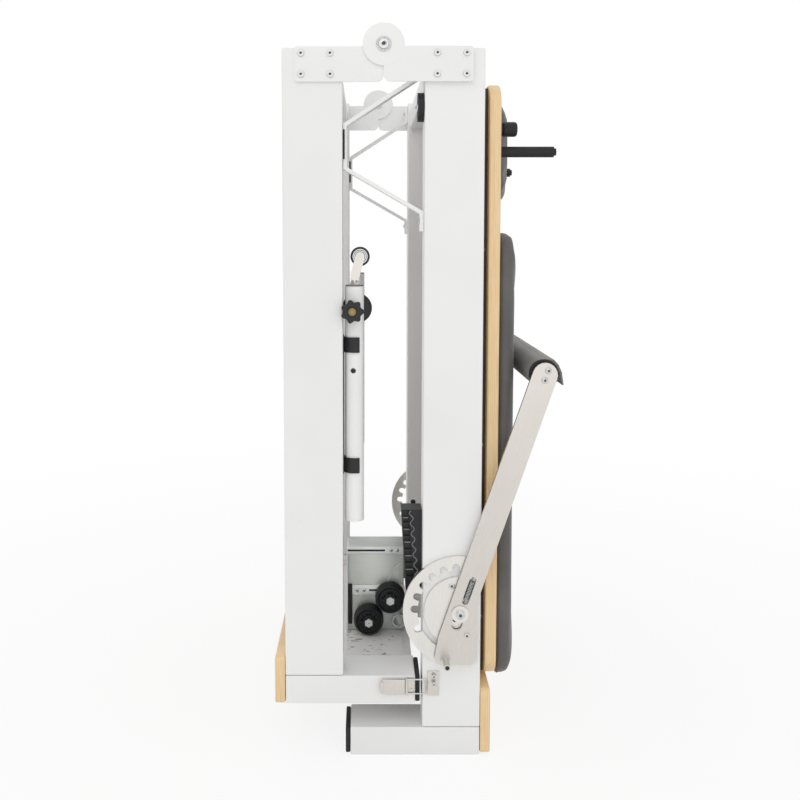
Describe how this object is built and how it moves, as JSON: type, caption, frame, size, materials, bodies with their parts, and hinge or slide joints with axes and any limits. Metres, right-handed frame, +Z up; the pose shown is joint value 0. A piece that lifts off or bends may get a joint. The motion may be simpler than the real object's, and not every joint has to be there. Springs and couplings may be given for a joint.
{
  "type": "folding exercise reformer",
  "caption": "Folding reformer stood on end: hinged white frame halves, sliding padded carriage, notched footbar, stowed rope posts, latch and transport wheels.",
  "frame": {"origin": "middle of the bounding box's base, on the floor", "axes": "+Z up along the folded rails, +X towards the carriage side, -Y towards the side with the rope pulley and latch"},
  "size_m": [0.4894, 0.7392, 1.2465],
  "materials": {
    "white_coat": "white powder coat, satin",
    "plywood": "clear varnished birch plywood",
    "stained_wood": "dark stained, matte",
    "stainless": "brushed, warm",
    "aluminium": "anodised extrusion",
    "black_plastic": "moulded, satin",
    "rubber": "matte black",
    "upholstery": "grey synthetic leather over foam",
    "sleeve": "grey wrapped foam",
    "spring_steel": "bright drawn wire"
  },
  "bodies": {
    "base_half": {"right_rail_near": "white_coat", "right_rail_far": "white_coat", "right_leg_near": "white_coat", "right_leg_far": "white_coat", "right_hinge_beam": "white_coat", "right_foot_beam": "white_coat", "right_hinge_plate_near": "white_coat", "right_hinge_plate_far": "white_coat", "mid_leg_near": "white_coat", "mid_leg_far": "white_coat", "right_leg_pad_near": "rubber", "right_leg_pad_far": "rubber", "hinge_buffer": "rubber", "right_end_board": "plywood", "footbar_gear_near": "stainless", "footbar_gear_far": "stainless", "latch_keeper": "stainless", "ribbed_tray": "black_plastic", "carriage_spring_near": "spring_steel", "carriage_spring_far": "spring_steel"},
    "folding_half": {"left_rail_near": "white_coat", "left_rail_far": "white_coat", "left_leg_near": "white_coat", "left_leg_far": "white_coat", "left_hinge_beam": "white_coat", "left_foot_panel": "white_coat", "left_hinge_plate_near": "white_coat", "left_hinge_plate_far": "white_coat", "rope_post_near": "white_coat", "rope_post_far": "white_coat", "left_leg_pad_near": "rubber", "left_leg_pad_far": "rubber", "left_end_board": "plywood", "foot_cross_profile": "aluminium", "post_clips_near": "black_plastic", "post_clips_far": "black_plastic", "latch_base": "stainless"},
    "carriage": {"carriage_board": "plywood", "carriage_frame": "stained_wood", "carriage_mat": "upholstery", "headrest_pad": "upholstery", "shoulder_peg_near": "rubber", "shoulder_peg_far": "rubber", "stop_knob": "rubber"},
    "footbar": {"footbar_arm_near": "stainless", "footbar_arm_far": "stainless", "footbar_tube": "stainless", "footbar_sleeve": "sleeve", "lock_spring_near": "spring_steel"},
    "latch_lever": {"latch_lever": "stainless"},
    "pulley_fork": {"pulley_fork": "stainless"},
    "pulley_sheave": {"pulley_sheave": "black_plastic"},
    "wheel_a": {"transport_wheel_a": "rubber"},
    "wheel_b": {"transport_wheel_b": "rubber"},
    "knob_near": {"star_knob_near": "black_plastic"},
    "knob_far": {"star_knob_far": "black_plastic"},
    "roller_near_low": {"guide_roller_near_low": "black_plastic"},
    "roller_near_high": {"guide_roller_near_high": "black_plastic"},
    "roller_far_low": {"guide_roller_far_low": "black_plastic"},
    "roller_far_high": {"guide_roller_far_high": "black_plastic"}
  },
  "joints": [
    {"name": "fold", "type": "hinge", "parent": "base_half", "child": "folding_half", "pos_m": [-0.05835, 0, 1.212], "axis": [0, 1, 0], "range_deg": [0, 180]},
    {"name": "carriage_slide", "type": "slide", "parent": "base_half", "child": "carriage", "axis": [0, 0, 1], "range_m": [0, 0.9], "deforming": ["carriage_spring_near", "carriage_spring_far"]},
    {"name": "footbar_pivot", "type": "hinge", "parent": "base_half", "child": "footbar", "pos_m": [0.07265, 0, 0.258], "axis": [0, 1, 0], "range_deg": [0, 100]},
    {"name": "latch_lever_turn", "type": "hinge", "parent": "folding_half", "child": "latch_lever", "pos_m": [-0.01735, -0.3295, 0.125], "axis": [0, 0, 1], "range_deg": [0, 110]},
    {"name": "pulley_swivel", "type": "hinge", "parent": "folding_half", "child": "pulley_fork", "pos_m": [-0.10695, -0.3, 0.8143], "axis": [0, 0, 1], "range_deg": [-100, 100]},
    {"name": "sheave_spin", "type": "hinge", "parent": "pulley_fork", "child": "pulley_sheave", "pos_m": [-0.09735, -0.3, 0.8645], "axis": [0, 1, 0], "continuous": true},
    {"name": "wheel_a_spin", "type": "hinge", "parent": "folding_half", "child": "wheel_a", "pos_m": [-0.04085, -0.13225, 0.203], "axis": [0, 1, 0], "continuous": true},
    {"name": "wheel_b_spin", "type": "hinge", "parent": "folding_half", "child": "wheel_b", "pos_m": [-0.08215, -0.13225, 0.16], "axis": [0, 1, 0], "continuous": true},
    {"name": "knob_near_turn", "type": "hinge", "parent": "folding_half", "child": "knob_near", "pos_m": [-0.11025, -0.3, 0.773], "axis": [0, 1, 0], "continuous": true},
    {"name": "knob_far_turn", "type": "hinge", "parent": "folding_half", "child": "knob_far", "pos_m": [-0.11025, 0.3, 0.773], "axis": [0, 1, 0], "continuous": true},
    {"name": "roller_near_low_spin", "type": "hinge", "parent": "carriage", "child": "roller_near_low", "pos_m": [0.09375, -0.2564, 0.3], "axis": [1, 0, 0], "continuous": true},
    {"name": "roller_near_high_spin", "type": "hinge", "parent": "carriage", "child": "roller_near_high", "pos_m": [0.09375, -0.2564, 1.02], "axis": [1, 0, 0], "continuous": true},
    {"name": "roller_far_low_spin", "type": "hinge", "parent": "carriage", "child": "roller_far_low", "pos_m": [0.09375, 0.2564, 0.3], "axis": [1, 0, 0], "continuous": true},
    {"name": "roller_far_high_spin", "type": "hinge", "parent": "carriage", "child": "roller_far_high", "pos_m": [0.09375, 0.2564, 1.02], "axis": [1, 0, 0], "continuous": true}
  ]
}
